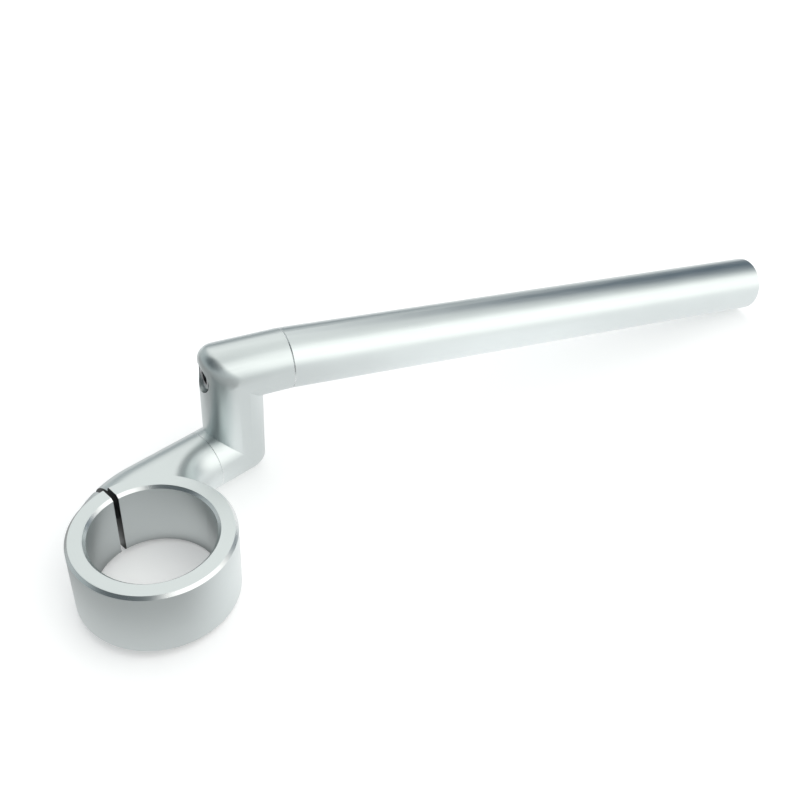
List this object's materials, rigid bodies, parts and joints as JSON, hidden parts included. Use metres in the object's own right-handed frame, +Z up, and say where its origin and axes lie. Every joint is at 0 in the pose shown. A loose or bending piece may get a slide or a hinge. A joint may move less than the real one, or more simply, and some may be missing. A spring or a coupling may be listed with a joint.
{
  "type": "clip-on handlebar",
  "caption": "Clip-on handlebar half: a split fork clamp with a round side arm, an offset riser bolted to the arm, and a straight tubular grip bar bolted to the riser's top.",
  "frame": {"origin": "centre of the fork bore, at the middle of the clamp ring's height", "axes": "+Z up along the fork bore, +X along the clamp's arm away from the ring; the bar leaves towards +X and -Y"},
  "size_m": [0.3101, 0.101, 0.058],
  "materials": {
    "silver_anodised": "satin silver anodised",
    "bar_anodised": "satin silver anodised tube",
    "bare_aluminium": "turned",
    "screw_steel": "zinc plated"
  },
  "bodies": {
    "root": {"clamp": "silver_anodised", "riser": "silver_anodised", "bar_tube": "bar_anodised", "bar_plug": "bare_aluminium", "pinch_screw": "screw_steel", "riser_screw": "screw_steel", "bar_screw": "screw_steel"}
  },
  "joints": []
}
